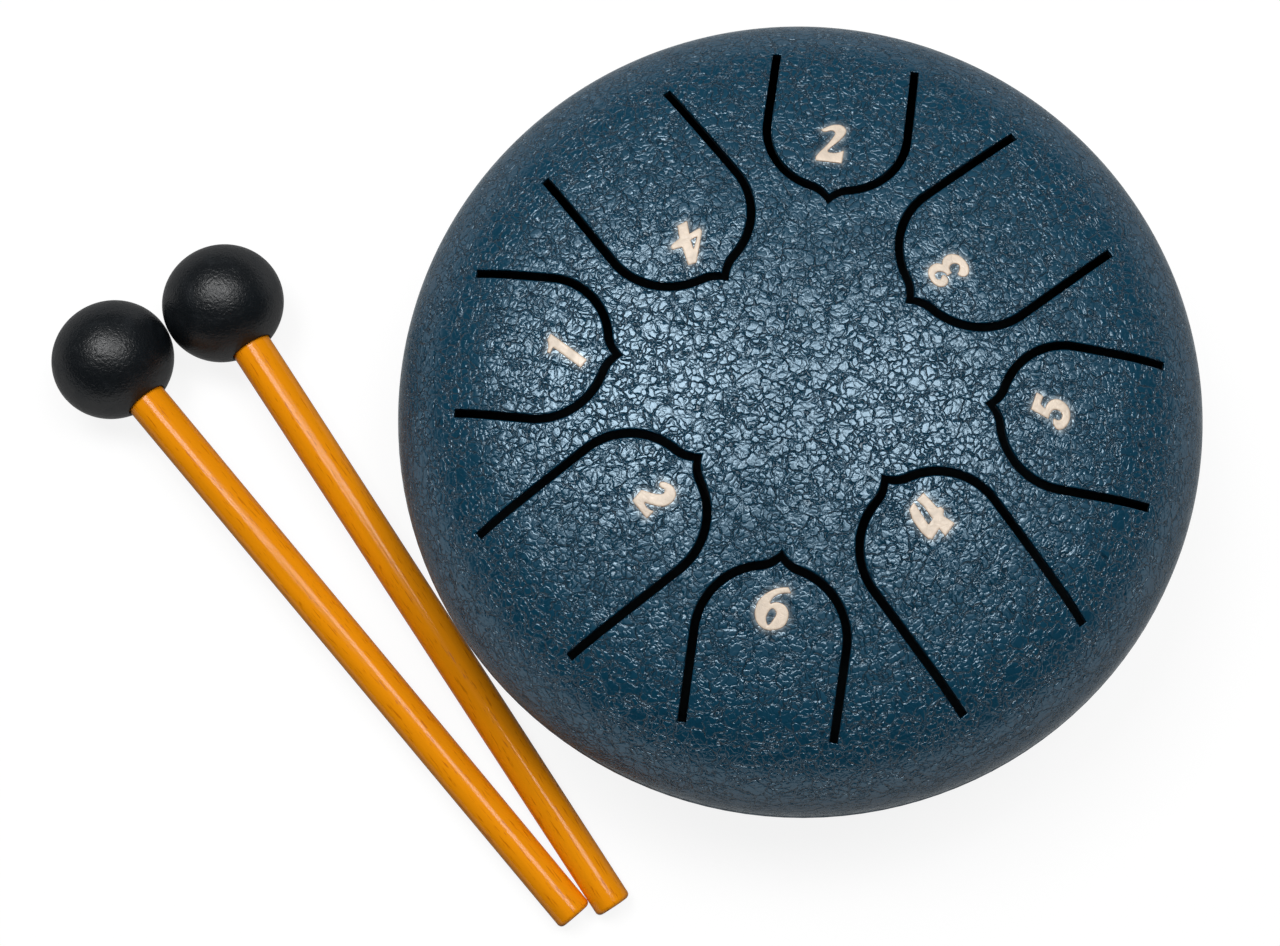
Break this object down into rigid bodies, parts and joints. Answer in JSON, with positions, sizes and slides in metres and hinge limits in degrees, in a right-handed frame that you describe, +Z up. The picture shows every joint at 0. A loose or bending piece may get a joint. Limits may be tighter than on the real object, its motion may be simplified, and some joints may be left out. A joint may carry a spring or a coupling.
{
  "type": "steel tongue drum",
  "caption": "Round steel tongue drum with slotted, numbered spring tongues, a bowl with a sound hole below, rubber feet, and wooden mallets with rubber ball heads.",
  "frame": {"origin": "centre of the round sound hole in the drum's base, on the drum's axis", "axes": "+Z up along the drum's axis, +X towards the tongue numbered 5, +Y towards the far tongue numbered 2"},
  "size_m": [0.2264, 0.1772, 0.0669],
  "materials": {
    "blue_enamel": "crackle",
    "foil": "satin",
    "foot_rubber": "matte",
    "head_rubber": "satin",
    "stick_wood": "gloss"
  },
  "bodies": {
    "drum": {"upper_shell": "blue_enamel", "lower_shell": "blue_enamel", "seam_weld": "blue_enamel", "foot_back_right": "foot_rubber", "foot_back_left": "foot_rubber", "foot_front": "foot_rubber"},
    "tongue_right": {"tongue_right": "blue_enamel", "number_right": "foil"},
    "tongue_back_right": {"tongue_back_right": "blue_enamel", "number_back_right": "foil"},
    "tongue_back": {"tongue_back": "blue_enamel", "number_back": "foil"},
    "tongue_back_left": {"tongue_back_left": "blue_enamel", "number_back_left": "foil"},
    "tongue_left": {"tongue_left": "blue_enamel", "number_left": "foil"},
    "tongue_front_left": {"tongue_front_left": "blue_enamel", "number_front_left": "foil"},
    "tongue_front": {"tongue_front": "blue_enamel", "number_front": "foil"},
    "tongue_front_right": {"tongue_front_right": "blue_enamel", "number_front_right": "foil"},
    "mallet_inner": {"mallet_inner_stick": "stick_wood", "mallet_inner_head": "head_rubber"},
    "mallet_outer": {"mallet_outer_stick": "stick_wood", "mallet_outer_head": "head_rubber"}
  },
  "joints": [
    {"name": "flex_tongue_right", "type": "hinge", "parent": "drum", "child": "tongue_right", "pos_m": [0.06427, 0, 0.0501], "axis": [0, -1, 0], "range_deg": [-0.5, 0.5], "stiffness_Nm_per_rad": 135.1},
    {"name": "flex_tongue_back_right", "type": "hinge", "parent": "drum", "child": "tongue_back_right", "pos_m": [0.04227, 0.04227, 0.05255], "axis": [0.7071, -0.7071, 0], "range_deg": [-0.5, 0.5], "stiffness_Nm_per_rad": 123.5},
    {"name": "flex_tongue_back", "type": "hinge", "parent": "drum", "child": "tongue_back", "pos_m": [0, 0.06267, 0.05116], "axis": [1, 0, 0], "range_deg": [-0.5, 0.5], "stiffness_Nm_per_rad": 141.9},
    {"name": "flex_tongue_back_left", "type": "hinge", "parent": "drum", "child": "tongue_back_left", "pos_m": [-0.04213, 0.04213, 0.05264], "axis": [0.7071, 0.7071, 0], "range_deg": [-0.5, 0.5], "stiffness_Nm_per_rad": 123.5},
    {"name": "flex_tongue_left", "type": "hinge", "parent": "drum", "child": "tongue_left", "pos_m": [-0.06198, 0, 0.05153], "axis": [0, 1, 0], "range_deg": [-0.5, 0.5], "stiffness_Nm_per_rad": 148.5},
    {"name": "flex_tongue_front_left", "type": "hinge", "parent": "drum", "child": "tongue_front_left", "pos_m": [-0.04453, -0.04453, 0.05092], "axis": [-0.7071, 0.7071, 0], "range_deg": [-0.5, 0.5], "stiffness_Nm_per_rad": 111.8},
    {"name": "flex_tongue_front", "type": "hinge", "parent": "drum", "child": "tongue_front", "pos_m": [0, -0.06277, 0.05106], "axis": [-1, 0, 0], "range_deg": [-0.5, 0.5], "stiffness_Nm_per_rad": 140.2},
    {"name": "flex_tongue_front_right", "type": "hinge", "parent": "drum", "child": "tongue_front_right", "pos_m": [0.04524, -0.04524, 0.05029], "axis": [-0.7071, -0.7071, 0], "range_deg": [-0.5, 0.5], "stiffness_Nm_per_rad": 105},
    {"name": "lift_mallet_inner", "type": "slide", "parent": "drum", "child": "mallet_inner", "axis": [0, 0, 1], "range_m": [0, 0.12]},
    {"name": "lift_mallet_outer", "type": "slide", "parent": "drum", "child": "mallet_outer", "axis": [0, 0, 1], "range_m": [0, 0.12]}
  ]
}
